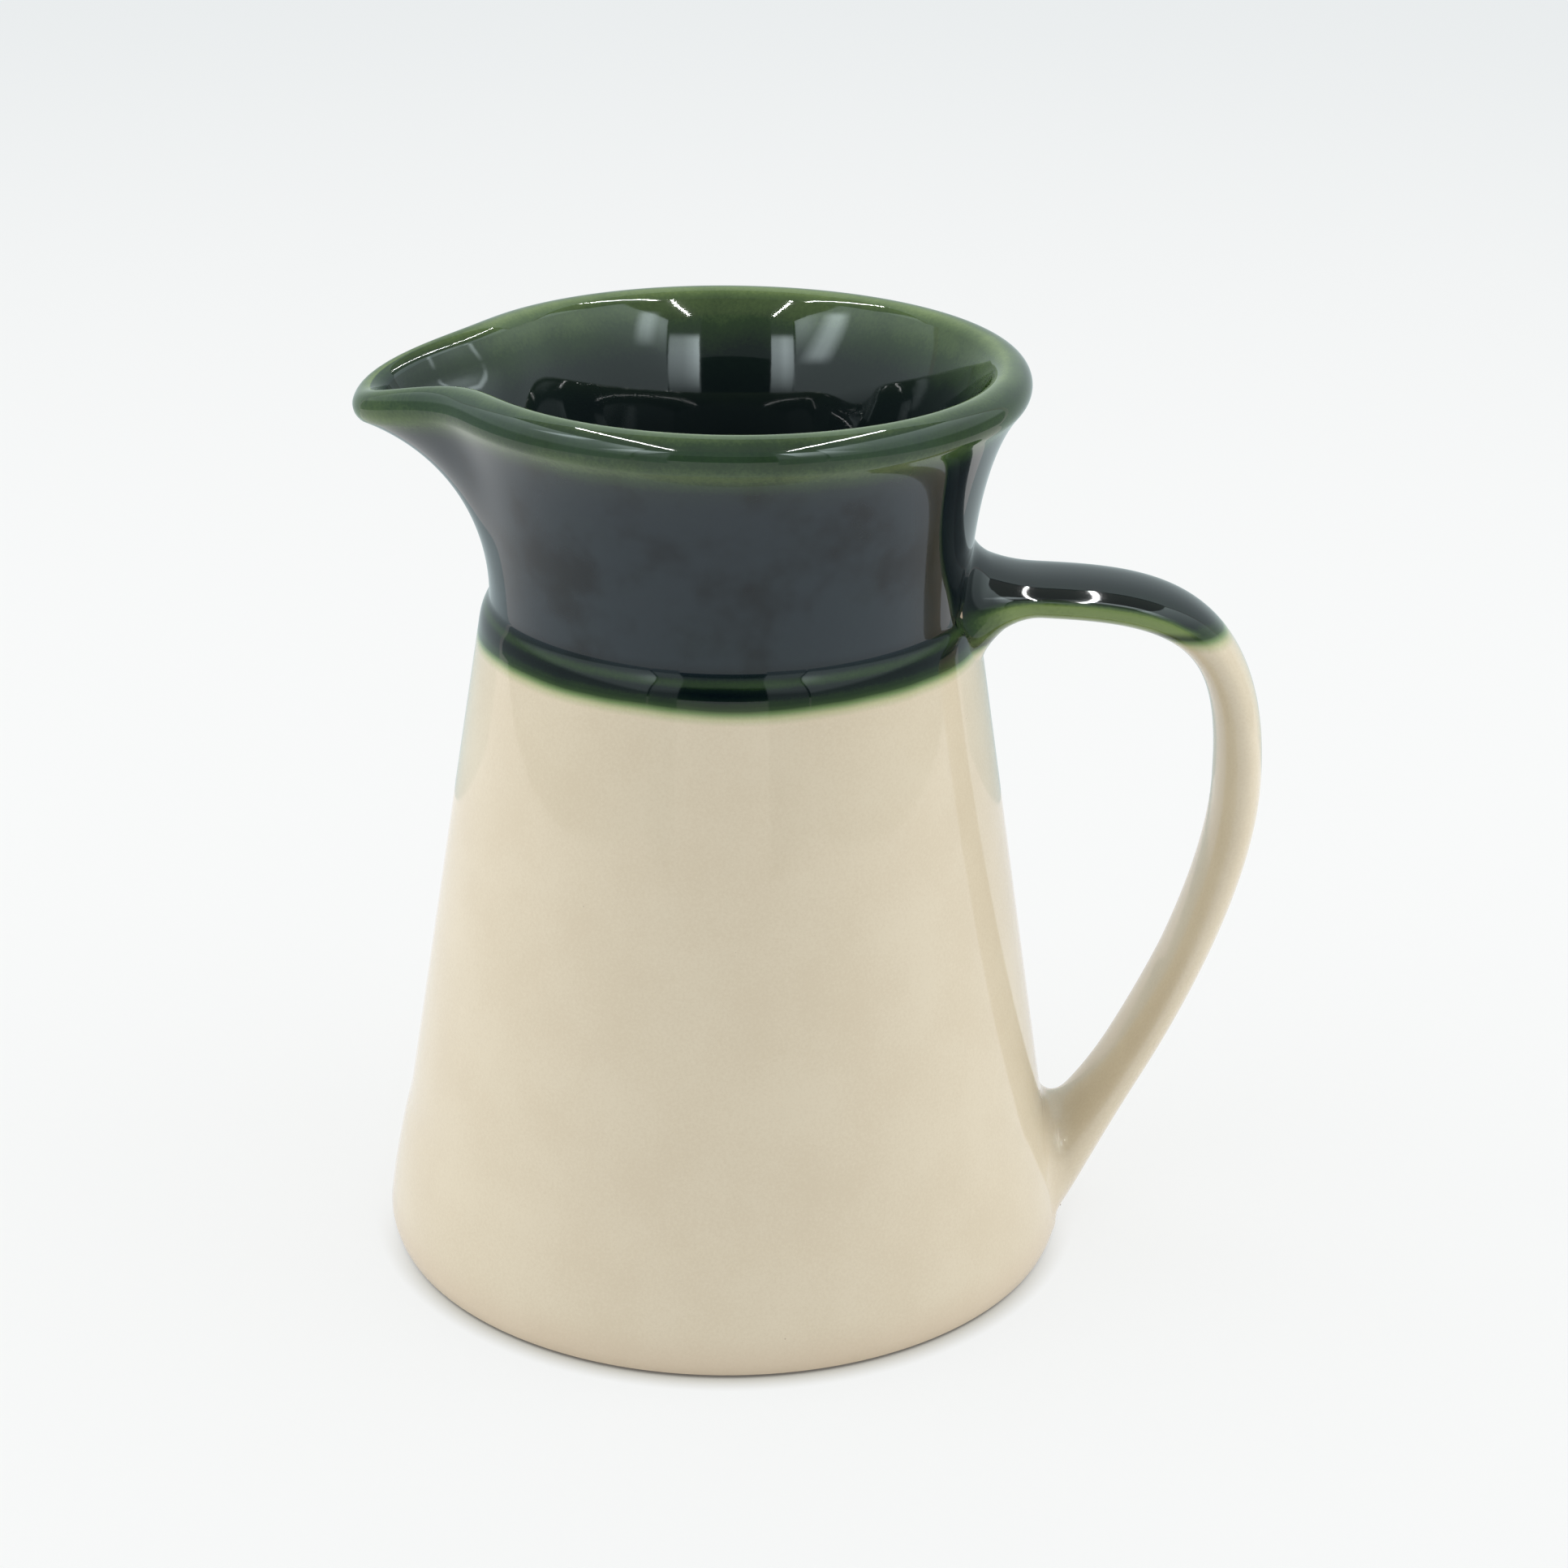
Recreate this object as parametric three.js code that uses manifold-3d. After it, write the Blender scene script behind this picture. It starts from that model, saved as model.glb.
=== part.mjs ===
// A glazed stoneware jug: a thrown body with a pulled spout, a strap handle and two glazes.
// Millimetres, +Z up. The origin is the centre of the flat base. The handle points along +X
// and the spout along -X.
import * as THREE from 'three';
import { mergeVertices } from 'three/addons/utils/BufferGeometryUtils.js';
import Module from 'manifold-3d';

const wasm = await Module();
wasm.setup();

const { clamp, degToRad, lerp } = THREE.MathUtils;

// Outside of the clay body, from the foot up to the line where the two glazes meet
const BASE_RADIUS = 56.9;
const FOOT_ROUND_WIDTH = 1.3;
const FOOT_ROUND_HEIGHT = 2.8;
const FOOT_FLARE = 0.3;
const FLARE_HEIGHT = 22.5;
const FLARE_FULLNESS = 1.05;
const BODY_HEIGHT = 105.7;
const BODY_TOP_RADIUS = 39.7;

// Shoulder, neck and lip, each measured from the stretch below it
const SHOULDER_RISE = 1.3;
const SHOULDER_STEP = 1.7;
const SHOULDER_STEP_HEIGHT = 4.9;
const SHOULDER_ROUND = 2.4;
const NECK_LENGTH = 34.7;
const NECK_STRAIGHT = 11.1;
const LIP_RADIUS = 43.6;
const LIP_ROUND = 2.8;
const LIP_LEAN = degToRad(40);
const THROAT_LEAN = degToRad(35);
const LIP_LEAN_LENGTH = 9;

// Spout
const SPOUT_REACH = 12.7;
const SPOUT_DIP = 4.5;
const SPOUT_SPREAD = degToRad(16.8);
const SPOUT_DIP_SPREAD = degToRad(15);
const SPOUT_SHARPNESS = 2.5;
const SPOUT_CURL = 2.2;
const SPOUT_LIP_ROUND = 2.25;

// Inside
const WALL = 5;
const FLOOR = 7;
const FLOOR_ROUND = 9;

// Handle: a strap whose centre line leaves the neck, turns and comes down to the foot
const HANDLE_RISE = 5.7;
const HANDLE_GAP = 36.3;
const HANDLE_FALL = 33;
const HANDLE_TOP_RUN = 24.9;
const HANDLE_TOP_FALL = 2.6;
const HANDLE_BEND = 37;
const HANDLE_DROP = 24.5;
const TAIL_HEIGHT = 3;
const TAIL_DEPTH = 5;
const TAIL_RUN = 16.3;
const TAIL_LEAN = degToRad(41);
const STRAP_WIDTH = 17;
const STRAP_THICKNESS = 6.9;
const STRAP_TOP_THICKNESS = 5.8;
const STRAP_SQUARENESS = 2.15;

// Where the strap spreads into the neck and into the wall
const ROOT_LENGTH = 12;
const ROOT_SPREAD = 6.5;
const ROOT_SAG = 3.5;
const ROOT_WIDENING = 3;
const TAIL_LENGTH = 30;
const TAIL_WIDENING = 4;
const TAIL_WEB = 2.5;

// Coats and joints
const GLAZE = 0.5;
const COAT_GAP = 0.1;
const SLIP = 0.8;
const SEAM_GAP = 0.3;
const HANDLE_DARK_LENGTH = 47;

// Facets: round the axis, along each curve of the outline, and along and round the strap
const SEGMENTS = 48;
const FOOT_STEPS = 3;
const FLARE_STEPS = 3;
const SHOULDER_STEPS = 3;
const NECK_STEPS = 5;
const LIP_STEPS = 7;
const THROAT_STEPS = 4;
const FLOOR_STEPS = 3;
const STRAP_RINGS = 26;
const STRAP_SIDES = 16;
const MERGE_DISTANCE = 1e-4;

const clay = { color: 0xb9a58c, roughness: 0.9, metalness: 0 };
const creamGlaze = { color: 0xded5c3, roughness: 0.25, metalness: 0 };
const darkGlaze = { color: 0x2a3233, roughness: 0.15, metalness: 0 };

const shoulderHeight = BODY_HEIGHT + SHOULDER_RISE;
const neckHeight = shoulderHeight + SHOULDER_STEP_HEIGHT;
const lipHeight = neckHeight + NECK_LENGTH;
const wallSlope = (BASE_RADIUS - FOOT_FLARE - BODY_TOP_RADIUS) / BODY_HEIGHT;
const coneRadius = (height) => BODY_TOP_RADIUS + wallSlope * (BODY_HEIGHT - height);
const neckRadius = coneRadius(shoulderHeight) - SHOULDER_STEP;
const coatOutside = COAT_GAP + GLAZE;

const point = (radius, height) => new THREE.Vector2(radius, height);
const polar = (centre, length, angle) => point(
  centre.x + length * Math.cos(angle),
  centre.y + length * Math.sin(angle),
);

// The clay's outline runs from the centre of the base, up the outside, over the lip and down
// to the centre of the floor, and marks the points where the coats begin and end.
function bodyOutline() {
  const footEdge = point(BASE_RADIUS - FOOT_ROUND_WIDTH, 0);
  const flareMiddle = (FOOT_ROUND_HEIGHT + FLARE_HEIGHT) / 2;
  const shoulder = point(coneRadius(shoulderHeight), shoulderHeight);
  const neckFoot = point(neckRadius, neckHeight);
  const lipCentre = point(LIP_RADIUS, lipHeight);
  const lipFoot = polar(lipCentre, LIP_ROUND, -LIP_LEAN);
  const throatTop = polar(lipCentre, LIP_ROUND, Math.PI - THROAT_LEAN);
  const throatFoot = point(neckRadius - WALL, neckHeight);
  const insideShoulder = point(coneRadius(shoulderHeight) - WALL, shoulderHeight - WALL);
  const floorSide = point(coneRadius(FLOOR + FLOOR_ROUND) - WALL, FLOOR + FLOOR_ROUND);

  const footRound = new THREE.EllipseCurve(
    footEdge.x, FOOT_ROUND_HEIGHT, FOOT_ROUND_WIDTH, FOOT_ROUND_HEIGHT, -Math.PI / 2, 0,
  );
  const flare = new THREE.QuadraticBezierCurve(
    point(BASE_RADIUS, FOOT_ROUND_HEIGHT),
    point(coneRadius(flareMiddle) + FLARE_FULLNESS, flareMiddle),
    point(coneRadius(FLARE_HEIGHT), FLARE_HEIGHT),
  );
  const shoulderRound = new THREE.CubicBezierCurve(
    shoulder,
    point(coneRadius(shoulderHeight + SHOULDER_ROUND), shoulderHeight + SHOULDER_ROUND),
    point(neckRadius, neckHeight - SHOULDER_ROUND),
    neckFoot,
  );
  const neck = new THREE.CubicBezierCurve(
    neckFoot,
    point(neckRadius, neckHeight + NECK_STRAIGHT),
    polar(lipFoot, -LIP_LEAN_LENGTH, Math.PI / 2 - LIP_LEAN),
    lipFoot,
  );
  const lip = new THREE.EllipseCurve(
    LIP_RADIUS, lipHeight, LIP_ROUND, LIP_ROUND, -LIP_LEAN, Math.PI - THROAT_LEAN,
  );
  const throat = new THREE.CubicBezierCurve(
    throatTop,
    polar(throatTop, -LIP_LEAN_LENGTH, Math.PI / 2 - THROAT_LEAN),
    point(throatFoot.x, neckHeight + NECK_STRAIGHT),
    throatFoot,
  );
  const floorRound = new THREE.QuadraticBezierCurve(
    floorSide,
    point(coneRadius(FLOOR) - WALL, FLOOR),
    point(floorSide.x - FLOOR_ROUND, FLOOR),
  );

  const points = [point(0, 0), footEdge];
  const add = (...more) => points.push(...more) - 1;
  const follow = (curve, steps) => add(...curve.getPoints(steps).slice(1));
  const marks = {};
  marks.glazeFoot = follow(footRound, FOOT_STEPS);
  follow(flare, FLARE_STEPS);
  marks.glazeLine = add(point(BODY_TOP_RADIUS, BODY_HEIGHT));
  add(shoulder);
  follow(shoulderRound, SHOULDER_STEPS);
  marks.neckTop = follow(neck, NECK_STEPS);
  marks.lipEnd = follow(lip, LIP_STEPS);
  follow(throat, THROAT_STEPS);
  add(insideShoulder, floorSide);
  follow(floorRound, FLOOR_STEPS);
  marks.floorCentre = add(point(0, FLOOR));
  return { points, marks };
}

// The outline moved out along its normals. Points on the axis stay on it.
function movedOut({ points }, distance) {
  return points.map((here, index) => {
    const before = points[Math.max(index - 1, 0)];
    const after = points[Math.min(index + 1, points.length - 1)];
    const along = after.clone().sub(before).normalize();
    const radius = here.x === 0 ? 0 : here.x + along.y * distance;
    return point(radius, here.y - along.x * distance);
  });
}

// Vertices merged and facets without area dropped, so that the surface closes on itself
function closed(geometry) {
  geometry.deleteAttribute('normal');
  geometry.deleteAttribute('uv');
  const merged = mergeVertices(geometry, MERGE_DISTANCE);
  const corners = merged.getIndex().array;
  const kept = [];
  for (let first = 0; first < corners.length; first += 3) {
    const [a, b, c] = corners.slice(first, first + 3);
    if (a !== b && b !== c && c !== a) {
      kept.push(a, b, c);
    }
  }
  merged.setIndex(kept);
  return merged;
}

function turned(points) {
  return closed(new THREE.LatheGeometry(points, SEGMENTS).rotateX(Math.PI / 2));
}

// The lip is drawn out and down on one side, and thins there
function pullSpout(geometry) {
  const position = geometry.getAttribute('position');
  const lipBase = lipHeight - LIP_ROUND;
  for (let index = 0; index < position.count; index += 1) {
    const at = new THREE.Vector3().fromBufferAttribute(position, index);
    const radius = Math.hypot(at.x, at.y);
    const turn = Math.abs(Math.atan2(at.y, -at.x));
    const rise = clamp((at.z - neckHeight) / (lipBase - neckHeight), 0, 1) ** SPOUT_CURL;
    const pull = rise * Math.exp(-((turn / SPOUT_SPREAD) ** SPOUT_SHARPNESS));
    const dip = rise * Math.exp(-((turn / SPOUT_DIP_SPREAD) ** 2));
    const thin = 1 - (1 - SPOUT_LIP_ROUND / LIP_ROUND) * pull;
    if (pull > 0) {
      const newRadius = LIP_RADIUS + (radius - LIP_RADIUS) * thin + SPOUT_REACH * pull;
      const newHeight = lipHeight + (at.z - lipHeight) * thin - SPOUT_DIP * dip;
      position.setXYZ(index, at.x * newRadius / radius, at.y * newRadius / radius, newHeight);
    }
  }
  return geometry;
}

// A coat over the outline from one mark to another. Its clay side runs in the same order as
// the clay's own facets, so the two stay a steady gap apart, and the facets are then reversed
// to face out.
function coat(outline, from, to) {
  const inside = movedOut(outline, COAT_GAP).slice(from, to + 1);
  const outside = movedOut(outline, coatOutside).slice(from, to + 1).reverse();
  const geometry = pullSpout(turned([...inside, ...outside, inside[0]]));
  geometry.getIndex().array.reverse();
  return geometry;
}

function solid(geometry) {
  return new wasm.Manifold(new wasm.Mesh({
    numProp: 3,
    vertProperties: new Float32Array(geometry.getAttribute('position').array),
    triVerts: new Uint32Array(geometry.getIndex().array),
  }));
}

function geometryOf(manifold) {
  const mesh = manifold.getMesh();
  const geometry = new THREE.BufferGeometry();
  geometry.setAttribute('position', new THREE.BufferAttribute(mesh.vertProperties, 3));
  geometry.setIndex(new THREE.BufferAttribute(mesh.triVerts, 1));
  return geometry;
}

// The filled outside of the body up to the lip, grown by a distance, for trimming the handle
function envelope(outline, distance) {
  const side = movedOut(outline, distance).slice(1, outline.marks.neckTop + 1);
  return solid(turned([point(0, -distance), ...side, point(0, side.at(-1).y)]));
}

function handlePath() {
  const start = point(neckRadius - WALL / 2, shoulderHeight + HANDLE_RISE);
  const widestHeight = start.y - HANDLE_FALL;
  const reach = coneRadius(widestHeight) + HANDLE_GAP + STRAP_THICKNESS / 2;
  const widest = point(reach, widestHeight);
  const tail = point(coneRadius(TAIL_HEIGHT) - TAIL_DEPTH, TAIL_HEIGHT);
  const path = new THREE.CurvePath();
  path.add(new THREE.CubicBezierCurve(
    start,
    point(start.x + HANDLE_TOP_RUN, start.y - HANDLE_TOP_FALL),
    point(reach, widestHeight + HANDLE_BEND),
    widest,
  ));
  path.add(new THREE.CubicBezierCurve(
    widest,
    point(reach, widestHeight - HANDLE_DROP),
    polar(tail, TAIL_RUN, Math.PI / 2 - TAIL_LEAN),
    tail,
  ));
  return path;
}

// One ring of the strap at a share of its path: a squared oval, wider where the strap spreads
// into the neck and into the wall, and thicker towards the wall at the tail
function strapRing(path, share, distance) {
  const centre = path.getPointAt(share);
  const along = path.getTangentAt(share);
  const fromStart = share * path.getLength();
  const fromTail = (1 - share) * path.getLength();
  const root = clamp(1 - (fromStart - WALL / 2) / ROOT_LENGTH, 0, 1) ** 2;
  const tail = clamp(1 - fromTail / TAIL_LENGTH, 0, 1) ** 2;
  const thickness = lerp(STRAP_TOP_THICKNESS, STRAP_THICKNESS, share);
  const halfThick = thickness / 2 + ROOT_SPREAD * root + TAIL_WEB * tail + distance;
  const halfWide = STRAP_WIDTH / 2 + ROOT_WIDENING * root + TAIL_WIDENING * tail + distance;
  const rounded = (value) => Math.sign(value) * Math.abs(value) ** (2 / STRAP_SQUARENESS);
  return Array.from({ length: STRAP_SIDES }, (_, side) => {
    const angle = (2 * Math.PI * side) / STRAP_SIDES;
    const out = halfThick * rounded(Math.cos(angle)) - TAIL_WEB * tail;
    return new THREE.Vector3(
      centre.x - along.y * out,
      halfWide * rounded(Math.sin(angle)),
      centre.y - ROOT_SAG * root + along.x * out,
    );
  });
}

// The strap from one ring to another, grown by a distance and closed at both ends
function strap(path, distance, first = 0, last = STRAP_RINGS) {
  const rings = [];
  for (let ring = first; ring <= last; ring += 1) {
    rings.push(strapRing(path, ring / STRAP_RINGS, distance));
  }
  const corners = [];
  for (let ring = 0; ring < rings.length - 1; ring += 1) {
    for (let side = 0; side < STRAP_SIDES; side += 1) {
      const here = ring * STRAP_SIDES;
      const a = here + side;
      const b = here + (side + 1) % STRAP_SIDES;
      corners.push(a, a + STRAP_SIDES, b);
      corners.push(b, a + STRAP_SIDES, b + STRAP_SIDES);
    }
  }
  const end = (rings.length - 1) * STRAP_SIDES;
  for (let side = 1; side < STRAP_SIDES - 1; side += 1) {
    corners.push(0, side, side + 1);
    corners.push(end, end + side + 1, end + side);
  }
  const geometry = new THREE.BufferGeometry().setFromPoints(rings.flat());
  geometry.setIndex(corners);
  return solid(geometry);
}

// A block that holds everything above, or below, the widest point of the handle
function halfSpace(path, above) {
  const size = 4 * lipHeight;
  const middle = path.curves[0].v3.y;
  const block = new THREE.BoxGeometry(size, size, size);
  block.translate(0, 0, middle + (above ? size : -size) / 2);
  return solid(closed(block));
}

const outline = bodyOutline();
const { marks } = outline;
const path = handlePath();
const darkRings = Math.round(STRAP_RINGS * HANDLE_DARK_LENGTH / path.getLength());
const slipOutside = SEAM_GAP + SLIP;

const strapClay = strap(path, 0);
const strapHole = strap(path, SEAM_GAP);
const strapSeat = strap(path, COAT_GAP);
const handleTrim = envelope(outline, slipOutside + SEAM_GAP);
const coatTrim = envelope(outline, coatOutside + SEAM_GAP);
const slipLayer = envelope(outline, slipOutside).subtract(envelope(outline, SEAM_GAP));
const slip = strapClay.intersect(slipLayer);

const bodyCoat = solid(coat(outline, marks.glazeFoot, marks.glazeLine));
const neckCoat = solid(coat(outline, marks.glazeLine, marks.lipEnd));
const strapCoat = (first, last) => (
  strap(path, coatOutside, first, last).subtract(strapSeat).subtract(coatTrim)
);

const jug = new THREE.Group();
function addPiece(name, geometry, finish) {
  const mesh = new THREE.Mesh(geometry, new THREE.MeshStandardMaterial(finish));
  mesh.name = name;
  jug.add(mesh);
}

addPiece('clay_body', pullSpout(turned(outline.points)), clay);
addPiece('clay_handle', geometryOf(strapClay.subtract(handleTrim)), clay);
addPiece('upper_slip_joint', geometryOf(slip.intersect(halfSpace(path, true))), clay);
addPiece('lower_slip_joint', geometryOf(slip.intersect(halfSpace(path, false))), clay);
addPiece('body_glaze', geometryOf(bodyCoat.subtract(strapHole)), creamGlaze);
addPiece('neck_glaze', geometryOf(neckCoat.subtract(strapHole)), darkGlaze);
addPiece('inner_glaze', coat(outline, marks.lipEnd, marks.floorCentre), darkGlaze);
addPiece('handle_glaze_dark', geometryOf(strapCoat(0, darkRings)), darkGlaze);
addPiece('handle_glaze_cream', geometryOf(strapCoat(darkRings, STRAP_RINGS)), creamGlaze);

export default jug;
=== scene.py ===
# A glazed stoneware jug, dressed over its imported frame: smooth glazed surfaces, filleted joints and
# two glazes that meet along the line where the jug was dipped. The sizes are in millimetres and the
# meshes in metres. +Z is up, the handle points along +X and the spout along -X.
import math

import bmesh
import bpy
import numpy as np
from mathutils import Matrix


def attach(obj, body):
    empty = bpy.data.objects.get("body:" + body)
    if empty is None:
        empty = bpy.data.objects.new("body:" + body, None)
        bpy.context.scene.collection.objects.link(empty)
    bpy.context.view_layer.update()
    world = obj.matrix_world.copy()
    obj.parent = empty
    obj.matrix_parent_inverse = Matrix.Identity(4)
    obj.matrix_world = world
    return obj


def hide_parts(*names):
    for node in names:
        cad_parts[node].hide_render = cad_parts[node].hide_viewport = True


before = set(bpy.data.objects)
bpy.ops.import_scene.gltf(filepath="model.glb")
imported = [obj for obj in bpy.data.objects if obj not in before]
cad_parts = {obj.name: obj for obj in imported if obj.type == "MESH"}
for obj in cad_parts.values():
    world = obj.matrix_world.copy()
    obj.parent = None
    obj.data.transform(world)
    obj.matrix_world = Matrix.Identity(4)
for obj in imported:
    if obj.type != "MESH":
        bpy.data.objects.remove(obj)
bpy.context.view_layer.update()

MM = 0.001

# Outside of the clay body, from the foot up to the line where the two glazes meet
BASE_RADIUS = 56.9
FOOT_ROUND_WIDTH = 1.3
FOOT_ROUND_HEIGHT = 2.8
FOOT_FLARE = 0.3
FLARE_HEIGHT = 22.5
FLARE_FULLNESS = 1.05
BODY_HEIGHT = 105.7
BODY_TOP_RADIUS = 39.7

# Shoulder, neck and lip, each measured from the stretch below it
SHOULDER_RISE = 1.3
SHOULDER_STEP = 1.7
SHOULDER_STEP_HEIGHT = 4.9
SHOULDER_ROUND = 2.9
GROOVE_ROUND = 1.6
NECK_LENGTH = 34.7
NECK_STRAIGHT = 11.1
LIP_RADIUS = 43.6
LIP_ROUND = 2.8
LIP_LEAN = math.radians(40)
THROAT_LEAN = math.radians(35)
LIP_LEAN_LENGTH = 9

# Spout
SPOUT_REACH = 12.7
SPOUT_DIP = 4.5
SPOUT_SPREAD = math.radians(16.8)
SPOUT_DIP_SPREAD = math.radians(15)
SPOUT_SHARPNESS = 2.5
SPOUT_DIP_SHARPNESS = 2
SPOUT_CURL = 2.2
SPOUT_LIP_ROUND = 2.25

# Inside
WALL = 5
FLOOR = 7
FLOOR_ROUND = 9

# Handle: a strap whose centre line leaves the neck, turns and comes down to the foot
HANDLE_RISE = 5.7
HANDLE_GAP = 36.3
HANDLE_FALL = 33
HANDLE_TOP_RUN = 24.9
HANDLE_TOP_FALL = 2.6
HANDLE_BEND = 37
HANDLE_DROP = 24.5
TAIL_HEIGHT = 3
TAIL_DEPTH = 5
TAIL_RUN = 16.3
TAIL_LEAN = math.radians(41)
STRAP_WIDTH = 17
STRAP_THICKNESS = 6.9
STRAP_TOP_THICKNESS = 5.8
STRAP_SQUARENESS = 2.15
STRAP_HOLLOW = 1.5
STRAP_HOLLOW_SHARES = ((0.45, 0), (0.68, 1), (0.88, 1), (1, 0.4))
DARK_SHARE = 0.34

# Where the strap spreads into the neck and into the wall
ROOT_LENGTH = 12
ROOT_SPREAD = 6.5
ROOT_SAG = 3.5
ROOT_WIDENING = 3
TAIL_LENGTH = 30
TAIL_WIDENING = 4
TAIL_WEB = 2.5
TAIL_HEEL = 1.6

# Fillets where the strap meets the body: how far each runs along the strap and along the wall,
# on the outer face, the sides and the inner face of the strap
ALONG_STRAP, ALONG_WALL = 0, 1
UPPER_FILLET = {"outer": (4.0, 2.2), "side": (3.5, 2.6), "inner": (4.0, 2.4)}
LOWER_FILLET = {"outer": (6.0, 3.5), "side": (5.0, 4.5), "inner": (7.0, 6.0)}
FILLET_FULLNESS = 0.58
RIM_SINK = 0.03
RIM_TURN_IN = 0.08

# Coats, and how many steps of the foot's round the cream one covers
COAT = 0.6
COAT_THICKNESS = 0.5
GLAZED_FOOT_STEPS = 4

# Facets, and the steps in each stretch of the outline
OUTLINE_STEPS = {
    "base": 10, "foot": 8, "flare": 14, "wall": 30, "shoulder": 3, "step": 14, "neck": 30, "lip": 30,
    "throat": 26, "inside_step": 5, "inside_wall": 20, "floor_round": 12, "floor": 8,
}
AROUND = 192
STRAP_RINGS = 110
FILLET_RINGS = 14
STRAP_SIDES = 64
PATH_STEPS = 400
CROSSING_STEPS = 4000
SHARP_ANGLE = math.radians(50)

# Small lengths: the step for a slope, how near points are merged, and the least radius divided by
SLOPE_STEP = 0.1
MERGE_DISTANCE = 0.001
SMALLEST_RADIUS = 0.001

# Glazes: linear colours
CREAM = (0.62, 0.543, 0.404, 1)
CREAM_PALE = (0.66, 0.59, 0.45, 1)
CREAM_FOOT = (0.56, 0.45, 0.33, 1)
SPECK = (0.22, 0.17, 0.12, 1)
DARK_RAMP = (
    (0.0, (0.175, 0.25, 0.085, 1)),
    (0.22, (0.075, 0.125, 0.038, 1)),
    (0.45, (0.021, 0.045, 0.014, 1)),
    (0.75, (0.0045, 0.0105, 0.0085, 1)),
    (1.0, (0.0016, 0.0042, 0.006, 1)),
)
# Painted reflection: a bluish-grey sheen added to the dark glaze of the neck, clearing in patches, in
# place of the floor's reflection
PAINTED_SHEEN = (0.015, 0.023, 0.029, 1)
PAINTED_SHEEN_HEIGHTS = (109.5, 113.5)
PAINTED_SHEEN_CLEARING = 0.08
PAINTED_SHEEN_PATCHES = 0.75
PAINTED_SHEEN_CLEARS = (113, 119)
PAINTED_SHEEN_CLOSES = (124, 136)
PAINTED_SHEEN_END = (26, 34)
# A faint grey added to the lining's dark glaze where it is thick
LINING_GREY = (0.006, 0.009, 0.008, 1)
CREAM_GLOSS = 1.5
DARK_GLOSS = 1.44
CLAY = (0.42, 0.33, 0.24, 1)
CLAY_DARK = (0.27, 0.2, 0.14, 1)

# Unevenness of the glazes and the clay. A noise has a size in millimetres, a detail and a roughness,
# and a share says how much it counts
NOISE_MIDDLE = 0.5
CREAM_GRAIN = (0.45, 3.0, 0.7)
CREAM_GRAIN_SHARE = 0.7
CREAM_CLOUDS = (14, 2.0, 0.5)
CREAM_CLOUD_SHARE = 0.5
CREAM_PALE_SPAN = (0.42, 0.78)
SPECK_SPACING = 5.5
SPECK_SIZE = 0.055
SPECK_SIZE_LOSS = 0.018
SPECK_STRENGTH = 0.5
CREAM_FOOT_SPAN = (9, 1)
CREAM_FOOT_STRENGTH = 0.55
DARK_CLOUDS = (9, 3.0, 0.6)
DARK_CLOUD_SHARE = 0.26
DARK_GRAIN = (0.6, 2.0, 0.6)
DARK_GRAIN_SHARE = 0.16
# Patches where the painted reflection on the neck clears
PAINTED_SHEEN_NOISE = (15, 3.0, 0.6)
PAINTED_SHEEN_NOISE_SPAN = (0.46, 0.74)
GLAZE_ROUGHNESS = 0.03
GLAZE_ROUGHNESS_CHANGE = 0.035
GLAZE_ROUGHNESS_NOISE = (7, 2.0, 0.5)
GLAZE_ROUGHNESS_SPAN = (0.2, 0.8)
GLAZE_BUMP = 0.0015
GLAZE_BUMP_NOISE = (1.6, 1.0, 0.5)
CLAY_GRAIN = (0.5, 4.0, 0.7)
CLAY_GRAIN_SHARE = 0.6
CLAY_CLOUDS = (8, 2.0, 0.5)
CLAY_CLOUD_SHARE = 0.4
CLAY_SPAN = (0.3, 0.7)
CLAY_ROUGHNESS = 0.7
CLAY_ROUGHNESS_CHANGE = 0.2
CLAY_BUMP = 0.05

# The dip line, where the dark glaze thins to a green film over the cream: heights from the line
# and what the film lets through there
DIP_RAISE = -0.45
DIP_TILT = -0.035
DIP_BEND = 0.000155
DIP_SAG = -0.55
DIP_SAG_SPAN = (16, 2)
DIP_WOBBLE = 0.5
DIP_WOBBLE_NOISE = (16, 1.0, 0.5)
DIP_FILM_SPAN = (-3.0, 2.0)
DIP_FILM = (
    (0.14, (1, 1, 1, 1)),
    (0.34, (0.72, 0.82, 0.65, 1)),
    (0.5, (0.243, 0.411, 0.22, 1)),
    (0.62, (0.042, 0.096, 0.04, 1)),
    (0.76, (0.01, 0.03, 0.018, 1)),
)
DIP_COVERS = (0.1, 1.6)
DIP_THICKENS = (-0.9, 2.4)

# Where the dark glaze thins and turns green: how thin it is round the lip, from the outside over
# the top to the inside, and how far it takes to thicken again below
LIP_THIN_TURNS = np.radians((-40, 0, 40, 80, 105, 145))
LIP_THIN = (0.66, 0.52, 0.5, 0.72, 0.94, 0.68)
NECK_FADE = 4.0
THROAT_FADE = 9.0
SHOULDER_THIN = 0.5
SHOULDER_THIN_HEIGHT = 110.0
SHOULDER_THIN_SPREAD = 0.9
SPOUT_THIN = 0.15
SPOUT_THICK_INSIDE = 0.35
STRAP_THIN = 0.22
STRAP_THIN_TURN = math.radians(52)
STRAP_THIN_SPREAD = math.radians(20)
STRAP_THIN_AT_NECK = 0.35
STRAP_THIN_FROM_NECK = (1.5, 10)
STRAP_UNDER_THIN = 1.0
STRAP_UNDER_TURN = (math.radians(66), math.radians(84))

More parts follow.
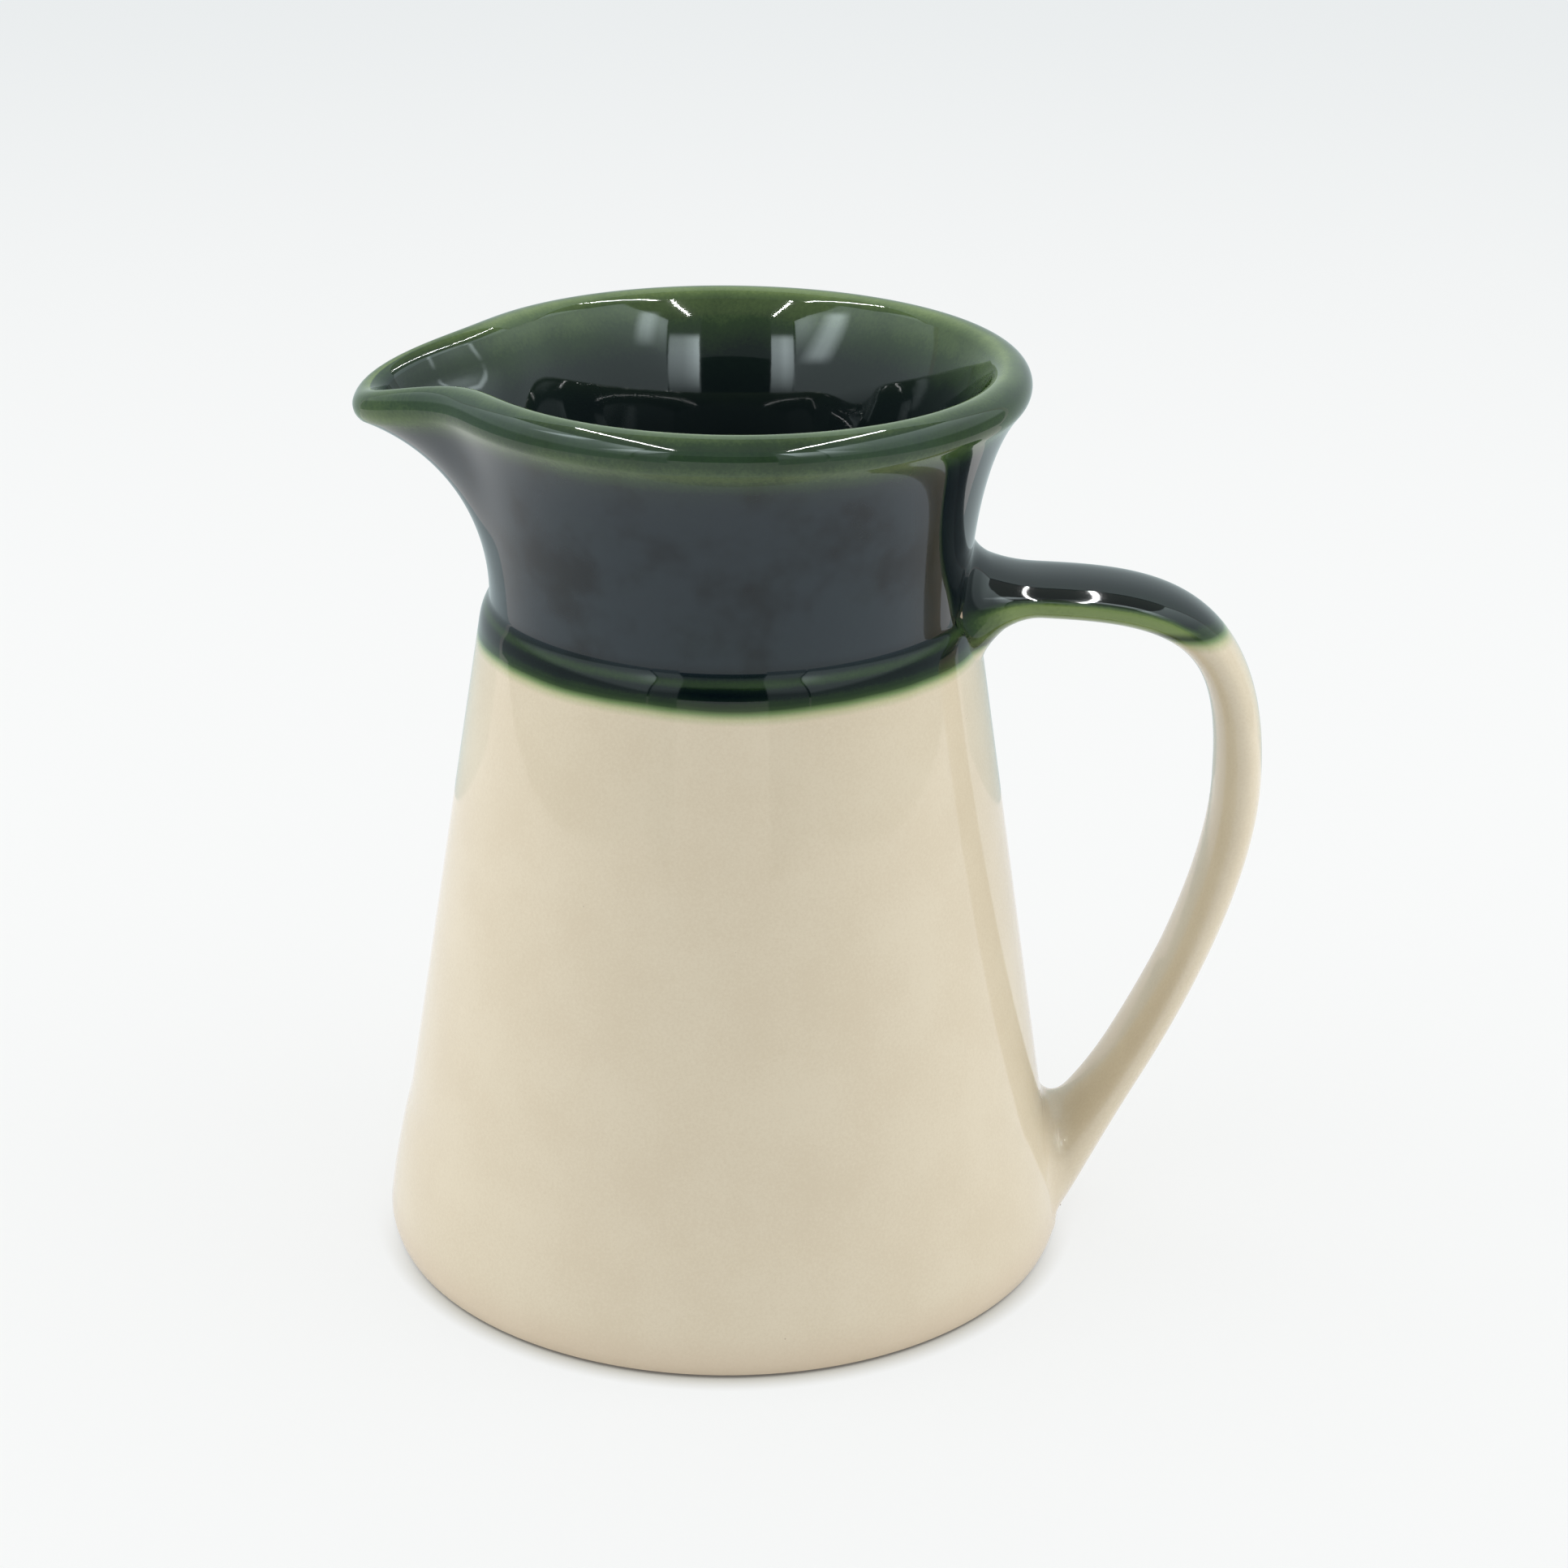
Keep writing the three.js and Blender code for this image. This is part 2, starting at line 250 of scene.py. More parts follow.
# Studio: a white box with a dark opening in front and two rows of small lamps overhead
WORLD_LIGHT = 1.0
BACKDROP_NEAR = (0.925, 0.94, 0.938, 1)
BACKDROP_FAR = (0.8, 0.835, 0.846, 1)
BACKDROP_SPAN = (250, 1500)
FLOOR_RADIUS = 6000
FLOOR_DROP = 0.1
FLOOR_SHADE = 0.25
# Painted shade: in reflections only, the floor darkens towards the front, where it is less lit
FLOOR_FRONT_SHADE = (0.84, 0.86, 0.82, 1)
FLOOR_FRONT_SHADE_SPAN = (180, 300)
FLOOR_WHITE = (0.86, 0.86, 0.86, 1)
# Painted contact shadow in the floor's glow: shade where an AO node finds the foot near, at the front
# only, and a darker line right at the foot
CONTACT_REACH = 3.5
CONTACT_SAMPLES = 8
CONTACT_FRONT = (0, 40)
CONTACT_SHADE = (0.56, 0.545, 0.48, 1)
CONTACT_SHADE_SPAN = (0.5, 1.0)
CONTACT_SHADOW_LINE = (0.12, 0.11, 0.095, 1)
CONTACT_SHADOW_LINE_SPAN = (0.45, 0.2)
OPENING = {"x": (-145, 108), "z": (125, 300)}
BOX_FRONT = -370
BOX_BACK = 186
BOX_TOP = 505
BOX_BOTTOM = 40
FRONT_HALF_WIDTH = 255
BACK_HALF_WIDTH = 330
SIDE_WALL_END = 165
CORNER_SEAM = 8
CEILING_SEAM = 14
CEILING_LIGHT = 0.45
WALL_TINT = (0.84, 0.98, 1.0)
ABOVE_OPENING_GLOW = ((300, 0.36), (505, 0.36))
FRONT_WALL_GLOW = ((190, 0.42), (215, 0.7), (250, 1.0), (345, 1.0), (410, 0.6), (505, 0.5))
SIDE_WALL_GLOW = ((170, 0.42), (200, 1.1), (250, 1.2), (300, 1.4), (345, 1.8), (420, 2.2), (480, 2.6))
WALL_SPOT = {"y": -320, "z": 460, "reach": 150, "light": 2.5}
BACK_WALL_GLOW = ((170, 0.74), (505, 1.35))
ROW_OFFSET = 150
ROW_HEIGHT = 490
ROW_SPAN = (-335, 165)
ROW_LAMPS = 34
LAMP_SIZE = 6
LAMP_LIGHT = 400
PANEL_SIZE = (700, 600)
PANEL_PLACE = (620, -60, 330)
PANEL_TURN = math.radians(75)
PANEL_POWER = 1.6

# Four flaps in front that show best inside the mouth. Each has a side, the way its plane faces and
# slopes, and how far it leans over as it rises. Seen from a point inside the mouth, the viewer, the
# lights go with the rise over the horizon and the shares of them with the turn from straight ahead.
# The angles are in degrees
FLAP_SHOULDER_TURN = 13
FLAP_VIEWER = (6, 36.5, 140)
FLAP_STEPS = 24
FRONT_FLAP_LIGHTS = ((9, 0), (12, 1.5), (15, 3), (19, 4.5), (23, 5.5), (28, 5.5), (30.5, 0))
FLAPS = {
    "right_front_flap": {
        "side": 1, "facing": 24, "slope": 40, "lean": 0, "lights": FRONT_FLAP_LIGHTS,
        "shares": ((16.5, 1.7), (20, 1.2), (24, 0.8), (31.3, 0.7)),
    },
    "left_front_flap": {
        "side": -1, "facing": 26, "slope": 40, "lean": 0, "lights": FRONT_FLAP_LIGHTS,
        "shares": ((20.5, 0.9), (24, 1.0), (27, 1.4), (31.3, 1.0)),
    },
    "right_side_flap": {
        "side": 1, "facing": -30, "slope": 90, "lean": 0,
        "lights": ((24, 0), (29, 3.5), (34, 5), (42, 5), (45, 0)),
        "shares": ((36, 0), (41, 1), (45, 1), (50, 0)),
    },
    "left_side_flap": {
        "side": -1, "facing": 48, "slope": 56, "lean": 0.7,
        "lights": ((18, 0), (22, 5), (30, 6), (42, 8), (45, 0)),
        "shares": ((30, 0), (36.5, 1), (40.5, 1), (47, 0)),
    },
}

# Camera, fitted to the photo
CAMERA_PLACE = (0, -485.22, 282.51)
CAMERA_WIDTH = math.radians(27.511)
CAMERA_TURN = math.radians(-1.0812)
CAMERA_DOWN = math.radians(22.8953)
CAMERA_ROLL = math.radians(0.7952)

shoulder_height = BODY_HEIGHT + SHOULDER_RISE
neck_height = shoulder_height + SHOULDER_STEP_HEIGHT
lip_height = neck_height + NECK_LENGTH
wall_slope = (BASE_RADIUS - FOOT_FLARE - BODY_TOP_RADIUS) / BODY_HEIGHT


def cone_radius(height):
    return BODY_TOP_RADIUS + wall_slope * (BODY_HEIGHT - height)


neck_radius = cone_radius(shoulder_height) - SHOULDER_STEP


# Curves in the plane, as arrays of (radius, height)
def polar(centre, length, angle):
    return (centre[0] + length * math.cos(angle), centre[1] + length * math.sin(angle))


def bezier(controls, steps):
    """Points along a Bezier curve, without the first. Its controls are points, or rows of points for
    curves side by side."""
    layer = [np.array(control, float) for control in controls]
    share = np.linspace(0, 1, steps + 1)[1:].reshape(-1, *[1] * layer[0].ndim)
    while len(layer) > 1:
        layer = [a * (1 - share) + b * share for a, b in zip(layer, layer[1:])]
    return layer[0]


def arc(centre, width, height, start, end, steps):
    """Points along a part of an ellipse, without the first."""
    angle = np.linspace(start, end, steps + 1)[1:]
    return np.column_stack((centre[0] + width * np.cos(angle), centre[1] + height * np.sin(angle)))


def clay_outline():
    """The clay from the centre of the base, up the outside, over the lip and down to the centre of the
    floor, with the indices of the points where its stretches end."""
    foot_edge = (BASE_RADIUS - FOOT_ROUND_WIDTH, 0)
    foot_centre = (foot_edge[0], FOOT_ROUND_HEIGHT)
    foot_top = (BASE_RADIUS, FOOT_ROUND_HEIGHT)
    flare_middle = (FOOT_ROUND_HEIGHT + FLARE_HEIGHT) / 2
    flare_top = (cone_radius(FLARE_HEIGHT), FLARE_HEIGHT)
    glaze_line = (BODY_TOP_RADIUS, BODY_HEIGHT)
    shoulder = (cone_radius(shoulder_height), shoulder_height)
    neck_foot = (neck_radius, neck_height)
    lip_centre = (LIP_RADIUS, lip_height)
    lip_foot = polar(lip_centre, LIP_ROUND, -LIP_LEAN)
    throat_top = polar(lip_centre, LIP_ROUND, math.pi - THROAT_LEAN)
    throat_foot = (neck_radius - WALL, neck_height)
    inside_shoulder = (cone_radius(shoulder_height) - WALL, shoulder_height - WALL)
    floor_side = (cone_radius(FLOOR + FLOOR_ROUND) - WALL, FLOOR + FLOOR_ROUND)
    floor_edge = (floor_side[0] - FLOOR_ROUND, FLOOR)
    flare_control = (cone_radius(flare_middle) + FLARE_FULLNESS, flare_middle)
    shoulder_controls = (
        (cone_radius(shoulder_height + SHOULDER_ROUND), shoulder_height + SHOULDER_ROUND),
        (neck_radius, neck_height - GROOVE_ROUND),
    )
    neck_controls = (
        (neck_radius, neck_height + NECK_STRAIGHT),
        polar(lip_foot, -LIP_LEAN_LENGTH, math.pi / 2 - LIP_LEAN),
    )
    throat_controls = (
        polar(throat_top, -LIP_LEAN_LENGTH, math.pi / 2 - THROAT_LEAN),
        (throat_foot[0], neck_height + NECK_STRAIGHT),
    )
    steps = OUTLINE_STEPS
    foot_span = (-math.pi / 2, 0)
    lip_span = (-LIP_LEAN, math.pi - THROAT_LEAN)
    floor_control = (cone_radius(FLOOR) - WALL, FLOOR)
    stretches = {
        "base": bezier(((0, 0), foot_edge), steps["base"]),
        "foot": arc(foot_centre, FOOT_ROUND_WIDTH, FOOT_ROUND_HEIGHT, *foot_span, steps["foot"]),
        "flare": bezier((foot_top, flare_control, flare_top), steps["flare"]),
        "wall": bezier((flare_top, glaze_line), steps["wall"]),
        "shoulder": bezier((glaze_line, shoulder), steps["shoulder"]),
        "step": bezier((shoulder, *shoulder_controls, neck_foot), steps["step"]),
        "neck": bezier((neck_foot, *neck_controls, lip_foot), steps["neck"]),
        "lip": arc(lip_centre, LIP_ROUND, LIP_ROUND, *lip_span, steps["lip"]),
        "throat": bezier((throat_top, *throat_controls, throat_foot), steps["throat"]),
        "inside_step": bezier((throat_foot, inside_shoulder), steps["inside_step"]),
        "inside_wall": bezier((inside_shoulder, floor_side), steps["inside_wall"]),
        "floor_round": bezier((floor_side, floor_control, floor_edge), steps["floor_round"]),
        "floor": bezier((floor_edge, (0, FLOOR)), steps["floor"]),
    }
    counts = np.cumsum([len(points) for points in stretches.values()])
    ends = dict(zip(stretches, counts.tolist()))
    return np.vstack([[(0, 0)], *stretches.values()]), ends


def moved_out(points, distance):
    """The outline moved out along its normals. Points on the axis stay on it."""
    steps = np.diff(points, axis=0)
    steps /= np.linalg.norm(steps, axis=1, keepdims=True)
    along = np.vstack((steps[:1], steps[:-1] + steps[1:], steps[-1:]))
    along /= np.linalg.norm(along, axis=1, keepdims=True)
    moved = points + distance * np.column_stack((along[:, 1], -along[:, 0]))
    moved[points[:, 0] == 0, 0] = 0
    return moved


outline, ends = clay_outline()
glazed = moved_out(outline, COAT)
under_glaze = moved_out(outline, COAT - COAT_THICKNESS)
wall_heights = glazed[ends["foot"]:ends["neck"], 1]
wall_radii = glazed[ends["foot"]:ends["neck"], 0]


# Surfaces, as grids of points: rows along the outline or the strap, columns round it
def turned(points):
    """The outline turned about the axis."""
    turn = np.linspace(0, 2 * math.pi, AROUND, endpoint=False)
    radius = points[:, :1]
    height = np.repeat(points[:, 1:], AROUND, axis=1)
    return np.stack((radius * np.cos(turn), radius * np.sin(turn), height), axis=-1)


def spout_pull(grid, spread, sharpness):
    """How much of the spout's pull each point takes."""
    turn = np.abs(np.arctan2(grid[..., 1], -grid[..., 0]))
    rise = (grid[..., 2] - neck_height) / (lip_height - LIP_ROUND - neck_height)
    return np.clip(rise, 0, 1) ** SPOUT_CURL * np.exp(-((turn / spread) ** sharpness))


def with_spout(grid):
    """The lip drawn out and down on one side, and thinned there."""
    radius = np.hypot(grid[..., 0], grid[..., 1])
    pull = spout_pull(grid, SPOUT_SPREAD, SPOUT_SHARPNESS)
    dip = spout_pull(grid, SPOUT_DIP_SPREAD, SPOUT_DIP_SHARPNESS)
    thin = 1 - (1 - SPOUT_LIP_ROUND / LIP_ROUND) * pull
    new_radius = LIP_RADIUS + (radius - LIP_RADIUS) * thin + SPOUT_REACH * pull
    stretch = np.where(pull > 0, new_radius / np.maximum(radius, SMALLEST_RADIUS), 1)
    height = lip_height + (grid[..., 2] - lip_height) * thin - SPOUT_DIP * dip
    return np.stack((grid[..., 0] * stretch, grid[..., 1] * stretch, height), axis=-1)


def coat(first, last):
    """A closed coat over a span of the outline."""
    outside = glazed[first:last + 1]
    inside = under_glaze[first:last + 1]
    return with_spout(turned(np.vstack((outside, inside[::-1]))))


def wall_radius(height):
    return np.interp(height, wall_heights, wall_radii)


def wall_point(turn, height, sink):
    """A point under the glazed outside of the body."""
    radius = wall_radius(height) - sink
    return np.stack((radius * np.cos(turn), radius * np.sin(turn), height), axis=-1)


def wall_normal(point):
    above = wall_radius(point[..., 2] + SLOPE_STEP)
    below = wall_radius(point[..., 2] - SLOPE_STEP)
    slope = (above - below) / (2 * SLOPE_STEP)
    turn = np.arctan2(point[..., 1], point[..., 0])
    normal = np.stack((np.cos(turn), np.sin(turn), -slope), axis=-1)
    return normal / np.linalg.norm(normal, axis=-1, keepdims=True)


def handle_path():
    """Points along the middle of the strap, their tangents and the lengths travelled up to them."""
    start = (neck_radius - WALL / 2, shoulder_height + HANDLE_RISE)
    widest_height = start[1] - HANDLE_FALL
    reach = cone_radius(widest_height) + HANDLE_GAP + STRAP_THICKNESS / 2
    widest = (reach, widest_height)
    tail = (cone_radius(TAIL_HEIGHT) - TAIL_DEPTH, TAIL_HEIGHT)
    top_control = (start[0] + HANDLE_TOP_RUN, start[1] - HANDLE_TOP_FALL)
    tail_control = polar(tail, TAIL_RUN, math.pi / 2 - TAIL_LEAN)
    upper = (start, top_control, (reach, widest_height + HANDLE_BEND), widest)
    lower = (widest, (reach, widest_height - HANDLE_DROP), tail_control, tail)
    points = np.vstack(([start], bezier(upper, PATH_STEPS), bezier(lower, PATH_STEPS)))
    tangents = np.gradient(points, axis=0)
    tangents /= np.linalg.norm(tangents, axis=1, keepdims=True)
    lengths = np.linalg.norm(np.diff(points, axis=0), axis=1)
    travelled = np.concatenate(([0], np.cumsum(lengths)))
    return points, tangents, travelled


path_points, path_tangents, path_travelled = handle_path()
path_length = path_travelled[-1]
strap_angles = np.linspace(0, 2 * math.pi, STRAP_SIDES, endpoint=False)


def rounded(value):
    return np.sign(value) * np.abs(value) ** (2 / STRAP_SQUARENESS)


def strap_point(travel, angle):
    """A point on the glazed strap at a distance along its path. Angle 0 is the middle of the outer
    face."""
    travel, angle = np.broadcast_arrays(travel, angle)
    centre = [np.interp(travel, path_travelled, path_points[:, axis]) for axis in (0, 1)]
    along = [np.interp(travel, path_travelled, path_tangents[:, axis]) for axis in (0, 1)]
    root = np.clip(1 - (travel - WALL / 2) / ROOT_LENGTH, 0, 1) ** 2
    tail = np.clip(1 - (path_length - travel) / TAIL_LENGTH, 0, 1) ** 2
    thickness = STRAP_TOP_THICKNESS + (STRAP_THICKNESS - STRAP_TOP_THICKNESS) * travel / path_length
    half_thick = thickness / 2 + ROOT_SPREAD * root + (TAIL_WEB + TAIL_HEEL) * tail + COAT
    half_wide = STRAP_WIDTH / 2 + ROOT_WIDENING * root + TAIL_WIDENING * tail + COAT
    hollow = STRAP_HOLLOW * np.interp(travel / path_length, *zip(*STRAP_HOLLOW_SHARES))
    half_thick = np.where(np.cos(angle) < 0, half_thick - hollow, half_thick)
    out = half_thick * rounded(np.cos(angle)) + (TAIL_HEEL - TAIL_WEB) * tail
    across = half_wide * rounded(np.sin(angle))
    height = centre[1] - ROOT_SAG * root + along[0] * out
    return np.stack((centre[0] - along[1] * out, across, height), axis=-1)


def strap_outward(travel, angle):
    """The strap's outward direction at a point, across its path."""
    along = [np.interp(travel, path_travelled, path_tangents[:, axis]) for axis in (0, 1)]
    power = 2 - 2 / STRAP_SQUARENESS
    out = np.sign(np.cos(angle)) * np.abs(np.cos(angle)) ** power / STRAP_THICKNESS
    across = np.sign(np.sin(angle)) * np.abs(np.sin(angle)) ** power / STRAP_WIDTH
    outward = np.stack((-along[1] * out, across, along[0] * out), axis=-1)
    return outward / np.linalg.norm(outward, axis=-1, keepdims=True)


def wall_crossings(angle):
    """Distances along the path at which the strap's surface comes out of the body and goes back in."""
    travel = np.linspace(0, path_length, CROSSING_STEPS)[:, None]
    points = strap_point(travel, angle[None, :])
    outside = np.hypot(points[..., 0], points[..., 1]) > wall_radius(points[..., 2])
    first = outside.argmax(axis=0)
    last = len(travel) - 1 - outside[::-1].argmax(axis=0)
    return travel[first, 0], travel[last, 0]


def by_side(fillet, angle, column):
    """A fillet's length round the strap, eased between its outer face, sides and inner face."""
    weights = {
        "outer": np.maximum(np.cos(angle), 0) ** 2,
        "side": np.sin(angle) ** 2,
        "inner": np.maximum(-np.cos(angle), 0) ** 2,
    }
    return sum(fillet[face][column] * weight for face, weight in weights.items())


def fillet_rows(corner_travel, start_travel, fillet):
    """Rows from the strap down to the wall, turning into it, and a last row just under it."""
    corner = strap_point(corner_travel, strap_angles)
    start = strap_point(start_travel, strap_angles)
    normal = wall_normal(corner)
    outward = strap_outward(corner_travel, strap_angles)
    spread = outward - normal * (outward * normal).sum(axis=-1, keepdims=True)
    spread /= np.linalg.norm(spread, axis=-1, keepdims=True)
    moved = corner + spread * by_side(fillet, strap_angles, ALONG_WALL)[:, None]
    rim_turn = np.arctan2(moved[:, 1], moved[:, 0])
    rim_height = np.maximum(moved[:, 2], wall_heights[0])
    rim = wall_point(rim_turn, rim_height, RIM_SINK)
    near_start = start + (corner - start) * FILLET_FULLNESS
    near_rim = rim + (corner - rim) * FILLET_FULLNESS
    rows = bezier((start, near_start, near_rim, rim), FILLET_RINGS)
    turned_in = rim + spread - wall_normal(rim) * RIM_TURN_IN
    return np.concatenate((rows, turned_in[None]))


def handle_grid():
    """The handle's glazed surface from the upper rim to the lower rim."""
    upper_corner, lower_corner = wall_crossings(strap_angles)
    upper_start = upper_corner + by_side(UPPER_FILLET, strap_angles, ALONG_STRAP)
    lower_start = lower_corner - by_side(LOWER_FILLET, strap_angles, ALONG_STRAP)
    share = np.linspace(0, 1, STRAP_RINGS + 1)[:, None]
    strap = strap_point(upper_start + (lower_start - upper_start) * share, strap_angles[None, :])
    upper = fillet_rows(upper_corner, upper_start, UPPER_FILLET)
    lower = fillet_rows(lower_corner, lower_start, LOWER_FILLET)
    return np.concatenate((upper[::-1], strap, lower))


def grid_normals(grid):
    """Outward normals of a grid whose columns close on themselves."""
    down = np.gradient(grid, axis=0)
    across = np.roll(grid, -1, axis=1) - np.roll(grid, 1, axis=1)
    normal = np.cross(down, across)
    return normal / np.linalg.norm(normal, axis=-1, keepdims=True)


# Meshes
def new_piece(name, grid, nodes, material, loop=False, thin=None):
    """A mesh on the grid, in place of CAD nodes. Columns close on themselves, and rows do in a loop;
    open ends are capped. The point attribute "thin" says how thin the glaze is."""
    rows, columns = grid.shape[:2]
    index = np.arange(rows * columns).reshape(rows, columns)
    if loop:
        index = np.vstack((index, index[:1]))
    beside = np.roll(index, -1, axis=1)
    quads = np.stack((index[:-1], beside[:-1], beside[1:], index[1:]), axis=-1).reshape(-1, 4)
    faces = quads.tolist()
    if not loop:
        faces += [index[0][::-1].tolist(), index[-1].tolist()]
    mesh = bpy.data.meshes.new(name)
    mesh.from_pydata((grid.reshape(-1, 3) * MM).tolist(), [], faces)
    if thin is not None:
        layer = mesh.attributes.new("thin", "FLOAT", "POINT")
        layer.data.foreach_set("value", np.asarray(thin, float).ravel())
    surface = bmesh.new()
    surface.from_mesh(mesh)
    bmesh.ops.remove_doubles(surface, verts=surface.verts, dist=MERGE_DISTANCE * MM)
    bmesh.ops.recalc_face_normals(surface, faces=surface.faces)
    surface.to_mesh(mesh)
    surface.free()
    mesh.shade_smooth()
    mesh.set_sharp_from_angle(angle=SHARP_ANGLE)
    mesh.materials.append(material)
    piece = bpy.data.objects.new(name, mesh)
    bpy.context.collection.objects.link(piece)
    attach(piece, "root")
    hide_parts(*nodes)


# Materials
class Shader:
    """A node tree with short calls for its nodes. Inputs are numbers, colours or nodes' outputs."""

    def __init__(self, tree):
        self.tree = tree
        self.tree.nodes.clear()

    def node(self, kind, inputs=None, **settings):
        node = self.tree.nodes.new(kind)
        for key, value in settings.items():
            setattr(node, key, value)
        for key, value in (inputs or {}).items():
            if isinstance(value, bpy.types.NodeSocket):
                self.tree.links.new(value, node.inputs[key])
            else:
                node.inputs[key].default_value = value
        return node

    def math(self, operation, first, second=0.0, clamp=False):
        inputs = {0: first, 1: second}
        return self.node("ShaderNodeMath", inputs, operation=operation, use_clamp=clamp).outputs[0]

    def weighted(self, first, first_share, second, second_share):
        """The sum of two values times their shares."""
        first_part = self.math("MULTIPLY", first, first_share)
        return self.math("ADD", first_part, self.math("MULTIPLY", second, second_share))

    def millimetres(self, place, axis):
        """One coordinate of a place in millimetres."""
        split = self.node("ShaderNodeSeparateXYZ", {"Vector": place})
        return self.math("DIVIDE", split.outputs[axis], MM)

    def noise(self, place, size, detail, roughness):
        """Noise from 0 to 1 whose features are about this many millimetres across."""
        inputs = {"Vector": place, "Scale": 1 / (size * MM), "Detail": detail, "Roughness": roughness}
        return self.node("ShaderNodeTexNoise", inputs).outputs["Fac"]

    def span(self, value, low, high, smooth=True):
        """0 below low, 1 above high."""
        inputs = {"Value": value, "From Min": low, "From Max": high}
        kind = "SMOOTHSTEP" if smooth else "LINEAR"
        return self.node("ShaderNodeMapRange", inputs, interpolation_type=kind).outputs["Result"]

    def mix(self, share, first, second):
        return self.blend("MIX", share, first, second)

    def blend(self, kind, share, first, second):
        """Two colours put together. A mix node's colours are its inputs 6 and 7 and its output 2."""
        inputs = {0: share, 6: first, 7: second}
        return self.node("ShaderNodeMix", inputs, data_type="RGBA", blend_type=kind).outputs[2]

    def ramp(self, value, stops):
        node = self.node("ShaderNodeValToRGB", {"Fac": value})
        elements = node.color_ramp.elements
        while len(elements) < len(stops):
            elements.new(1.0)
        for element, (position, colour) in zip(elements, stops):
            element.position = position
            element.color = colour
        return node.outputs["Color"]


def new_material(name):
    material = bpy.data.materials.new(name)
    material.use_nodes = True
    return material, Shader(material.node_tree)


def finish_surface(shader, colour, roughness, gloss, bump_height, bump_distance):
    """A glossy or matt fired surface with a fine unevenness. Gloss is its refractive index."""
    bump_inputs = {"Height": bump_height, "Distance": bump_distance * MM, "Strength": 1.0}
    normal = shader.node("ShaderNodeBump", bump_inputs).outputs["Normal"]
    inputs = {"Base Color": colour, "Roughness": roughness, "IOR": gloss, "Normal": normal}
    surface = shader.node("ShaderNodeBsdfPrincipled", inputs)
    shader.node("ShaderNodeOutputMaterial", {"Surface": surface.outputs["BSDF"]})


def cream_colour(shader, place, height):
    """Cream glaze with a fine grain, soft clouds, a few small specks and a warmer foot."""
    grain = shader.noise(place, *CREAM_GRAIN)
    clouds = shader.noise(place, *CREAM_CLOUDS)
    share = shader.weighted(grain, CREAM_GRAIN_SHARE, clouds, CREAM_CLOUD_SHARE)
    colour = shader.mix(shader.span(share, *CREAM_PALE_SPAN), CREAM, CREAM_PALE)
    spot_inputs = {"Vector": place, "Scale": 1 / (SPECK_SPACING * MM), "Randomness": 1.0}
    spots = shader.node("ShaderNodeTexVoronoi", spot_inputs).outputs
    size = shader.math("MULTIPLY", spots["Color"], SPECK_SIZE)
    size = shader.math("SUBTRACT", size, SPECK_SIZE_LOSS)
    speck = shader.math("LESS_THAN", spots["Distance"], size)
    colour = shader.mix(shader.math("MULTIPLY", speck, SPECK_STRENGTH), colour, SPECK)
    foot = shader.span(height, *CREAM_FOOT_SPAN)
    return shader.mix(shader.math("MULTIPLY", foot, CREAM_FOOT_STRENGTH), colour, CREAM_FOOT)


def dark_colour(shader, place, height, thickness):
    """Dark glaze: blue-black where it is thick, green where it is thin, with a painted reflection on the
    neck: a bluish-grey sheen that clears in patches.
    """
    clouds = shader.math("SUBTRACT", shader.noise(place, *DARK_CLOUDS), NOISE_MIDDLE)
    grain = shader.math("SUBTRACT", shader.noise(place, *DARK_GRAIN), NOISE_MIDDLE)
    uneven = shader.weighted(clouds, DARK_CLOUD_SHARE, grain, DARK_GRAIN_SHARE)
    colour = shader.ramp(shader.math("ADD", thickness, uneven, clamp=True), DARK_RAMP)
    # Painted reflection on the neck: a bluish-grey sheen above the shoulder, clearing in patches and
    # fading out towards the handle
    clears = shader.span(height, *PAINTED_SHEEN_CLEARS)
    clearing = shader.math("SUBTRACT", clears, shader.span(height, *PAINTED_SHEEN_CLOSES))
    clearing = shader.math("MULTIPLY", clearing, PAINTED_SHEEN_CLEARING)
    patches = shader.math("ADD", shader.noise(place, *PAINTED_SHEEN_NOISE), clearing)
    bare = shader.math("MULTIPLY", shader.span(patches, *PAINTED_SHEEN_NOISE_SPAN), PAINTED_SHEEN_PATCHES)
    painted_sheen = shader.math("SUBTRACT", 1.0, bare)
    painted_sheen = shader.math("MULTIPLY", painted_sheen, shader.span(height, *PAINTED_SHEEN_HEIGHTS))
    away = shader.span(shader.millimetres(place, "X"), *PAINTED_SHEEN_END)
    painted_sheen = shader.math("MULTIPLY", painted_sheen, shader.math("SUBTRACT", 1.0, away))
    return shader.blend("ADD", shader.math("MULTIPLY", painted_sheen, thickness), colour, PAINTED_SHEEN)


def height_above_dip(shader, place, height):
    """How far a place is above the line to which the jug was dipped, in millimetres."""
    sideways = shader.millimetres(place, "X")
    bend = shader.math("MULTIPLY", shader.math("MULTIPLY", sideways, sideways), DIP_BEND)
    tilt = shader.math("MULTIPLY", shader.millimetres(place, "Y"), DIP_TILT)
    line = shader.math("ADD", shader.math("ADD", bend, tilt), BODY_HEIGHT + DIP_RAISE)
    middle = shader.span(shader.math("ABSOLUTE", sideways), *DIP_SAG_SPAN)
    line = shader.math("ADD", line, shader.math("MULTIPLY", middle, DIP_SAG))
    wobble = shader.math("SUBTRACT", shader.noise(place, *DIP_WOBBLE_NOISE), NOISE_MIDDLE)
    wobble = shader.math("MULTIPLY", wobble, 2 * DIP_WOBBLE)
    return shader.math("ADD", shader.math("SUBTRACT", height, line), wobble)


